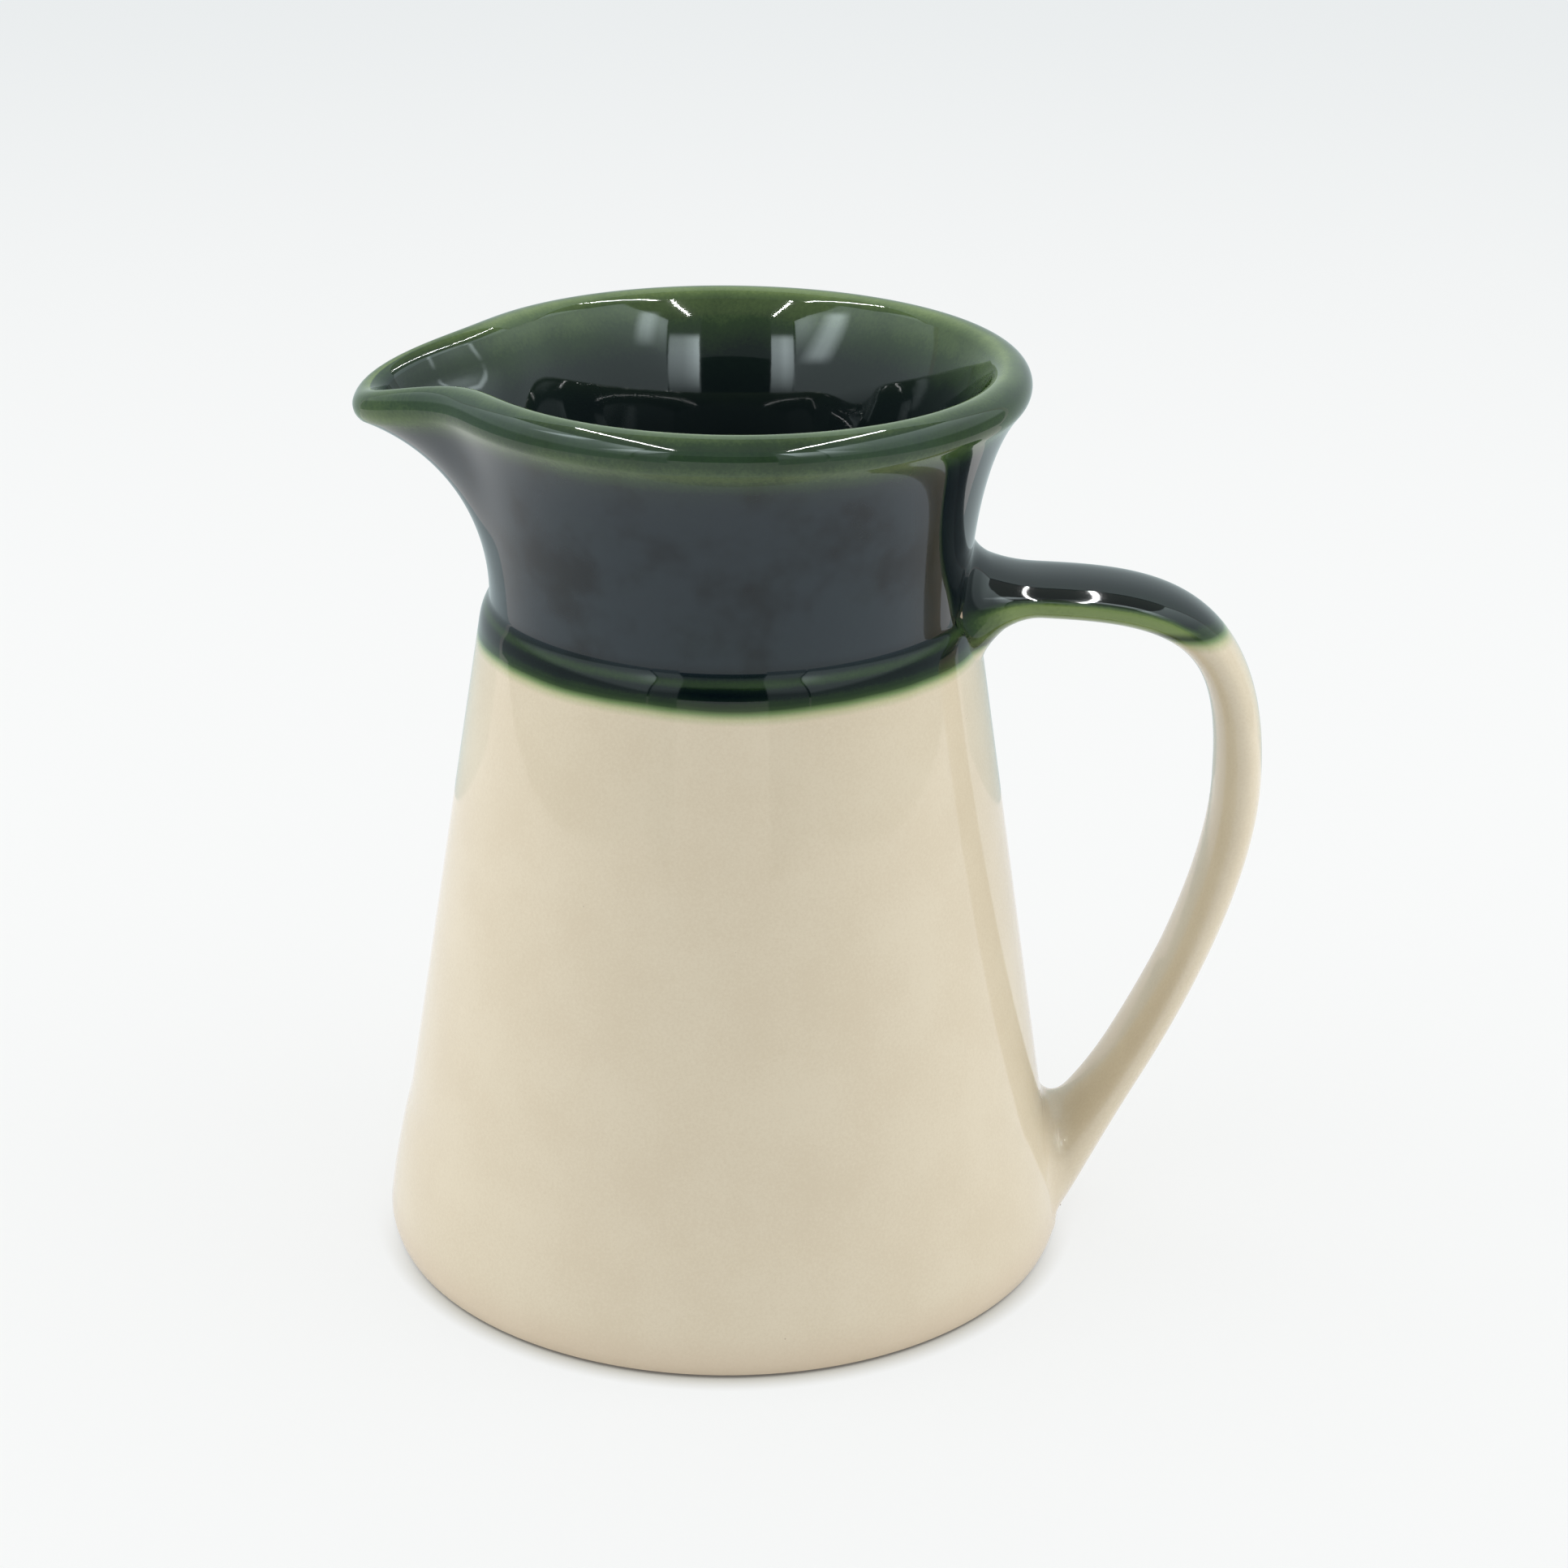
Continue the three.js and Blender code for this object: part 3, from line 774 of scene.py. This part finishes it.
def glaze_material(name, gloss, dipped=True):
    """Both glazes of the outside, meeting at the dip line; or the dark one alone for the inside."""
    material, shader = new_material(name)
    place = shader.node("ShaderNodeTexCoord").outputs["Object"]
    thin = shader.node("ShaderNodeAttribute", attribute_name="thin").outputs["Fac"]
    thick = shader.math("SUBTRACT", 1.0, thin)
    if dipped:
        height = shader.millimetres(place, "Z")
        above = height_above_dip(shader, place, height)
        film = shader.ramp(shader.span(above, *DIP_FILM_SPAN, smooth=False), DIP_FILM)
        cream = shader.blend("MULTIPLY", 1.0, cream_colour(shader, place, height), film)
        thick = shader.math("MULTIPLY", thick, shader.span(above, *DIP_THICKENS, smooth=False))
        dark = dark_colour(shader, place, height, thick)
        colour = shader.mix(shader.span(above, *DIP_COVERS), cream, dark)
    else:
        # At height 0 the dark glaze has none of the neck's painted reflection; a faint grey is added
        # where it is thick
        colour = shader.blend("ADD", thick, dark_colour(shader, place, 0.0, thick), LINING_GREY)
    uneven = shader.noise(place, *GLAZE_ROUGHNESS_NOISE)
    uneven = shader.span(uneven, *GLAZE_ROUGHNESS_SPAN, smooth=False)
    roughness = shader.math("MULTIPLY", uneven, GLAZE_ROUGHNESS_CHANGE)
    roughness = shader.math("ADD", roughness, GLAZE_ROUGHNESS)
    bump = shader.noise(place, *GLAZE_BUMP_NOISE)
    finish_surface(shader, colour, roughness, gloss, bump, GLAZE_BUMP)
    return material


def clay_material():
    material, shader = new_material("bare_clay")
    place = shader.node("ShaderNodeTexCoord").outputs["Object"]
    grain = shader.noise(place, *CLAY_GRAIN)
    clouds = shader.noise(place, *CLAY_CLOUDS)
    share = shader.weighted(grain, CLAY_GRAIN_SHARE, clouds, CLAY_CLOUD_SHARE)
    colour = shader.mix(shader.span(share, *CLAY_SPAN), CLAY_DARK, CLAY)
    roughness = shader.math("MULTIPLY", grain, CLAY_ROUGHNESS_CHANGE)
    roughness = shader.math("ADD", roughness, CLAY_ROUGHNESS)
    finish_surface(shader, colour, roughness, CREAM_GLOSS, grain, CLAY_BUMP)
    return material


def body_thin(first, last):
    """How thin the dark glaze is on the rows and columns of a coat over a span of the outline."""
    points = glazed[first:last + 1]
    place = np.arange(first, last + 1)
    lip_turn = np.interp(place, (ends["neck"], ends["lip"]), (-LIP_LEAN, math.pi - THROAT_LEAN))
    travelled = np.concatenate(([0], np.cumsum(np.linalg.norm(np.diff(points, axis=0), axis=1))))
    from_lip_foot = np.maximum(np.interp(ends["neck"], place, travelled) - travelled, 0)
    from_lip_end = np.maximum(travelled - np.interp(ends["lip"], place, travelled), 0)
    crest = np.interp(lip_turn, LIP_THIN_TURNS, LIP_THIN)
    fade = np.exp(-((from_lip_foot / NECK_FADE) ** 2)) * np.exp(-((from_lip_end / THROAT_FADE) ** 2))
    band = (points[:, 1] - SHOULDER_THIN_HEIGHT) / SHOULDER_THIN_SPREAD
    outside = place < ends["neck"]
    rows = crest * fade + SHOULDER_THIN * np.exp(-(band ** 2)) * outside
    pull = spout_pull(turned(points), SPOUT_SPREAD, SPOUT_SHARPNESS)
    spout = np.where(lip_turn < math.pi / 2, SPOUT_THIN, -SPOUT_THICK_INSIDE)
    thin = rows[:, None] + (spout * fade)[:, None] * pull
    thin = np.clip(thin, 0, 1)
    return np.vstack((thin, thin[::-1]))


# The pieces
cream_glaze = glaze_material("cream_glaze", CREAM_GLOSS)
dark_glaze = glaze_material("dark_glaze", DARK_GLOSS)
lining_glaze = glaze_material("lining_glaze", DARK_GLOSS, dipped=False)
bare_clay = clay_material()

new_piece("jug_clay", with_spout(turned(outline)), ["clay_body"], bare_clay)
for name, first, last, node, slot, material in (
    ("jug_body_glaze", "foot", "wall", "body_glaze", "cream_glaze", cream_glaze),
    ("jug_neck_glaze", "wall", "lip", "neck_glaze", "dark_glaze", dark_glaze),
    ("jug_lining", "lip", "floor", "inner_glaze", "dark_glaze", lining_glaze),
):
    covered = GLAZED_FOOT_STEPS if first == "foot" else 0
    span = ends[first] - covered, ends[last]
    new_piece(name, coat(*span), [node], material, loop=True, thin=body_thin(*span))

handle = handle_grid()
handle_inside = handle - COAT_THICKNESS * grid_normals(handle)
from_outer = np.minimum(strap_angles, 2 * math.pi - strap_angles)
edge = STRAP_THIN * np.exp(-(((from_outer - STRAP_THIN_TURN) / STRAP_THIN_SPREAD) ** 2))
under = STRAP_UNDER_THIN * np.interp(from_outer, STRAP_UNDER_TURN, (0, 1))
from_neck = np.linalg.norm(handle - handle[0], axis=-1)
strap_thin = np.maximum(edge, under) * np.interp(from_neck, STRAP_THIN_FROM_NECK, (STRAP_THIN_AT_NECK, 1))
split = round(len(handle) * DARK_SHARE)
for name, rows, nodes, slot, material in (
    (
        "handle_dark_glaze", slice(None, split + 1),
        ["handle_glaze_dark", "upper_slip_joint"], "dark_glaze", dark_glaze,
    ),
    (
        "handle_cream_glaze", slice(split, None),
        ["handle_glaze_cream", "lower_slip_joint"], "cream_glaze", cream_glaze,
    ),
):
    shell = np.concatenate((handle[rows], handle_inside[rows][::-1]))
    thin = np.concatenate((strap_thin[rows], strap_thin[rows]))
    new_piece(name, shell, nodes, material, loop=True, thin=thin)
handle_clay = handle - COAT * grid_normals(handle)
new_piece("handle_clay", handle_clay, ["clay_handle"], bare_clay)


# Studio
def stage_mesh(name, points, faces, material):
    mesh = bpy.data.meshes.new(name)
    mesh.from_pydata((np.array(points, float) * MM).tolist(), [], faces)
    mesh.materials.append(material)
    thing = bpy.data.objects.new(name, mesh)
    bpy.context.collection.objects.link(thing)
    return thing


def only_reflected(thing, lights_jug=False):
    """Leaves a thing out of the picture but in the reflections. It may also light or shade the jug."""
    thing.visible_camera = False
    thing.visible_diffuse = lights_jug
    thing.visible_shadow = lights_jug


def seen_directly(shader):
    """1 for rays from the camera, mirrors and glass, and 0 for the light that falls on things."""
    rays = shader.node("ShaderNodeLightPath").outputs
    shown = shader.math("MAXIMUM", rays["Is Camera Ray"], rays["Is Glossy Ray"])
    return shader.math("MAXIMUM", shown, rays["Is Transmission Ray"])


def floor_material():
    """White card that keeps the jug's shadow and shades off into the distance. Its glow also has a
    painted contact shadow at the front of the foot, and a painted shade in front that only reflections
    show.
    """
    material, shader = new_material("floor_card")
    place = shader.node("ShaderNodeTexCoord").outputs["Object"]
    distance = shader.node("ShaderNodeVectorMath", {0: place}, operation="LENGTH").outputs["Value"]
    share = shader.span(distance, BACKDROP_SPAN[0] * MM, BACKDROP_SPAN[1] * MM)
    colour = shader.mix(share, BACKDROP_NEAR, BACKDROP_FAR)
    # Painted shade on the floor in front, seen only in reflections
    forward = shader.math("MULTIPLY", shader.millimetres(place, "Y"), -1.0)
    mirrored = shader.node("ShaderNodeLightPath").outputs["Is Glossy Ray"]
    dimmed = shader.math("MULTIPLY", shader.span(forward, *FLOOR_FRONT_SHADE_SPAN), mirrored)
    colour = shader.mix(dimmed, colour, FLOOR_FRONT_SHADE)
    # Painted contact shadow from an AO node, at the front of the foot, with a darker line right at the
    # foot
    reach = {"Distance": CONTACT_REACH * MM}
    contact = shader.node("ShaderNodeAmbientOcclusion", reach, samples=CONTACT_SAMPLES).outputs["AO"]
    covered = shader.math("SUBTRACT", 1.0, shader.span(contact, *CONTACT_SHADE_SPAN, smooth=False))
    shaded = shader.math("MULTIPLY", covered, shader.span(forward, *CONTACT_FRONT))
    shadow_line_share = shader.span(contact, *CONTACT_SHADOW_LINE_SPAN)
    colour = shader.mix(shaded, colour, shader.mix(shadow_line_share, CONTACT_SHADE, CONTACT_SHADOW_LINE))
    glow = shader.node("ShaderNodeEmission", {"Color": colour, "Strength": 1.0})
    white = shader.node("ShaderNodeBsdfDiffuse", {"Color": FLOOR_WHITE})
    share = shader.math("MULTIPLY", seen_directly(shader), 1 - FLOOR_SHADE)
    both = shader.node("ShaderNodeMixShader", {0: share, 1: white.outputs[0], 2: glow.outputs[0]})
    shader.node("ShaderNodeOutputMaterial", {"Surface": both.outputs[0]})
    return material


def glow_material(name, strength):
    material, shader = new_material(name)
    glow = shader.node("ShaderNodeEmission", {"Color": (1, 1, 1, 1), "Strength": strength})
    shader.node("ShaderNodeOutputMaterial", {"Surface": glow.outputs[0]})
    return material


def wall_colour(light):
    return (*(tint * light for tint in WALL_TINT), 1)


def wall_material(name, stops, spot=None):
    """A lit wall. The stops give heights and the light there, and the spot a brighter place."""
    material, shader = new_material(name)
    place = shader.node("ShaderNodeTexCoord").outputs["Object"]
    low, high = stops[0][0], stops[-1][0]
    peak = max(light for _, light in stops)
    shares = [((stop - low) / (high - low), wall_colour(light / peak)) for stop, light in stops]
    height = shader.span(shader.millimetres(place, "Z"), low, high, smooth=False)
    colour = shader.ramp(height, shares)
    if spot:
        in_plane = {0: place, 1: (0, 1, 1)}
        flat = shader.node("ShaderNodeVectorMath", in_plane, operation="MULTIPLY").outputs[0]
        to_spot = {0: flat, 1: (0, spot["y"] * MM, spot["z"] * MM)}
        distance = shader.node("ShaderNodeVectorMath", to_spot, operation="DISTANCE").outputs["Value"]
        share = shader.span(distance, spot["reach"] * MM, 0)
        colour = shader.blend("ADD", share, colour, wall_colour(spot["light"] / peak))
    glow = shader.node("ShaderNodeEmission", {"Color": colour, "Strength": peak})
    shader.node("ShaderNodeOutputMaterial", {"Surface": glow.outputs[0]})
    return material


def flap_material():
    """Clear, with the light that the point attribute "glow" gives."""
    material, shader = new_material("flap")
    strength = shader.node("ShaderNodeAttribute", attribute_name="glow").outputs["Fac"]
    glow = shader.node("ShaderNodeEmission", {"Color": wall_colour(1), "Strength": strength})
    clear = shader.node("ShaderNodeBsdfTransparent")
    both = shader.node("ShaderNodeAddShader", {0: glow.outputs[0], 1: clear.outputs[0]})
    shader.node("ShaderNodeOutputMaterial", {"Surface": both.outputs[0]})
    return material


def card(name, corners, material, lights_jug=False):
    """A flat card beside the jug."""
    only_reflected(stage_mesh(name, corners, [[0, 1, 2, 3]], material), lights_jug)


def upright(start, end, heights):
    """Corners of an upright sheet between two points of the plan."""
    low, high = heights
    return [(*start, low), (*end, low), (*end, high), (*start, high)]


def level(half_width, y_span, height):
    """Corners of a level sheet."""
    front, back = y_span
    plan = ((-half_width, front), (half_width, front), (half_width, back), (-half_width, back))
    return [(*corner, height) for corner in plan]


def heading(turn, rise):
    """The direction at a turn from straight ahead and a rise over the horizon, both in degrees."""
    turn, rise = np.broadcast_arrays(np.radians(turn), np.radians(rise))
    return np.stack((np.sin(turn) * np.cos(rise), -np.cos(turn) * np.cos(rise), np.sin(rise)), axis=-1)


def flap(name, material, side, facing, slope, lean, lights, shares):
    """A clear sheet in front that glows softly. Its plane goes through the shoulder, so the shoulder
    sees it edge on."""
    shoulder = neck_radius * heading(side * FLAP_SHOULDER_TURN, 0)
    shoulder[2] = neck_height
    viewer = np.array(FLAP_VIEWER) * (-side, 1, 1)
    normal = heading(side * facing, slope - 90)
    rises, rise_lights = zip(*lights)
    turns, turn_shares = zip(*shares)
    rise = np.linspace(rises[0], rises[-1], FLAP_STEPS)[:, None]
    turn = np.linspace(turns[0], turns[-1], FLAP_STEPS)
    glow = np.interp(rise, rises, rise_lights) * np.interp(turn, turns, turn_shares)
    sight = heading(side * (turn + lean * (rise - rises[0])), rise)
    distance = ((shoulder - viewer) @ normal) / (sight @ normal)
    points = (viewer + sight * distance[..., None]).reshape(-1, 3)
    index = np.arange(FLAP_STEPS ** 2).reshape(FLAP_STEPS, FLAP_STEPS)
    quads = np.stack((index[:-1, :-1], index[:-1, 1:], index[1:, 1:], index[1:, :-1]), axis=-1)
    sheet = stage_mesh(name, points, quads.reshape(-1, 4).tolist(), material)
    layer = sheet.data.attributes.new("glow", "FLOAT", "POINT")
    layer.data.foreach_set("value", glow.ravel())
    only_reflected(sheet)


def lamp_row(name, side, material):
    """A row of small square lamps overhead."""
    points = []
    for place in np.linspace(*ROW_SPAN, ROW_LAMPS):
        for across, along in ((-1, -1), (1, -1), (1, 1), (-1, 1)):
            x = side * ROW_OFFSET + across * LAMP_SIZE / 2
            y = place + along * LAMP_SIZE / 2
            points.append((x, y, ROW_HEIGHT))
    faces = [list(range(first, first + 4)) for first in range(0, len(points), 4)]
    only_reflected(stage_mesh(name, points, faces, material))


def side_panel(side):
    """A soft light that no reflection shows."""
    panel_data = bpy.data.lights.new("side_panel", "AREA")
    panel_data.shape = "RECTANGLE"
    panel_data.size, panel_data.size_y = [length * MM for length in PANEL_SIZE]
    panel_data.energy = PANEL_POWER
    panel = bpy.data.objects.new("side_panel", panel_data)
    panel.location = (side * PANEL_PLACE[0] * MM, PANEL_PLACE[1] * MM, PANEL_PLACE[2] * MM)
    panel.rotation_euler = (0, side * PANEL_TURN, 0)
    panel.visible_camera = False
    panel.visible_glossy = False
    bpy.context.collection.objects.link(panel)


floor_rim = turned(np.array([(FLOOR_RADIUS, -FLOOR_DROP)]))[0]
stage_mesh("floor", floor_rim, [list(range(AROUND))], floor_material())

black = glow_material("unlit", 0.0)
above_opening = wall_material("above_opening", ABOVE_OPENING_GLOW)
front_wall = wall_material("front_wall", FRONT_WALL_GLOW)
side_wall = wall_material("side_wall", SIDE_WALL_GLOW, WALL_SPOT)
back_wall = wall_material("back_wall", BACK_WALL_GLOW)
ceiling = glow_material("ceiling", CEILING_LIGHT)
flap_glow = flap_material()
lamp_glow = glow_material("lamp_glow", LAMP_LIGHT)

opening_start, opening_end = [(edge, BOX_FRONT) for edge in OPENING["x"]]
over_opening = (OPENING["z"][1], BOX_TOP)
wall_span = (BOX_BOTTOM, BOX_TOP)
seam_span = (OPENING["z"][0], BOX_TOP)
card("front_opening", upright(opening_start, opening_end, OPENING["z"]), black, lights_jug=True)
card("above_opening", upright(opening_start, opening_end, over_opening), above_opening, lights_jug=True)
for hand, side, opening_side in (("left", -1, opening_start), ("right", 1, opening_end)):
    seam_start = (side * (FRONT_HALF_WIDTH - CORNER_SEAM), BOX_FRONT)
    corner = (side * FRONT_HALF_WIDTH, BOX_FRONT)
    wall_end = (side * BACK_HALF_WIDTH, SIDE_WALL_END)
    card(f"{hand}_front_wall", upright(opening_side, seam_start, wall_span), front_wall)
    card(f"{hand}_corner_seam", upright(seam_start, corner, seam_span), black)
    card(f"{hand}_side_wall", upright(corner, wall_end, wall_span), side_wall)
    lamp_row(f"lamp_row_{hand}", side, lamp_glow)
    side_panel(side)
for name, shape in FLAPS.items():
    flap(name, flap_glow, **shape)
seam_front = BOX_BACK - CEILING_SEAM
card("ceiling", level(BACK_HALF_WIDTH, (BOX_FRONT, seam_front), BOX_TOP), ceiling)
card("ceiling_seam", level(BACK_HALF_WIDTH, (seam_front, BOX_BACK), BOX_TOP), black)
back_start, back_end = [(side * BACK_HALF_WIDTH, BOX_BACK) for side in (-1, 1)]
card("back_wall", upright(back_start, back_end, (0, BOX_TOP)), back_wall)

# Camera and world
camera_data = bpy.data.cameras.new("camera")
camera_data.sensor_fit = "HORIZONTAL"
camera_data.angle = CAMERA_WIDTH
camera = bpy.data.objects.new("camera", camera_data)
aim = Matrix.Rotation(CAMERA_TURN, 4, "Z") @ Matrix.Rotation(math.pi / 2 - CAMERA_DOWN, 4, "X")
aim = aim @ Matrix.Rotation(CAMERA_ROLL, 4, "Z")
camera.matrix_world = Matrix.Translation([length * MM for length in CAMERA_PLACE]) @ aim
bpy.context.collection.objects.link(camera)
bpy.context.scene.camera = camera

world = bpy.data.worlds.new("studio")
world.use_nodes = True
shader = Shader(world.node_tree)
light = shader.node("ShaderNodeBackground", {"Color": (1, 1, 1, 1), "Strength": WORLD_LIGHT})
backdrop = shader.node("ShaderNodeBackground", {"Color": BACKDROP_FAR, "Strength": 1.0})
sources = {0: seen_directly(shader), 1: light.outputs[0], 2: backdrop.outputs[0]}
both = shader.node("ShaderNodeMixShader", sources)
shader.node("ShaderNodeOutputWorld", {"Surface": both.outputs[0]})
bpy.context.scene.world = world
bpy.context.scene.view_settings.view_transform = "Standard"
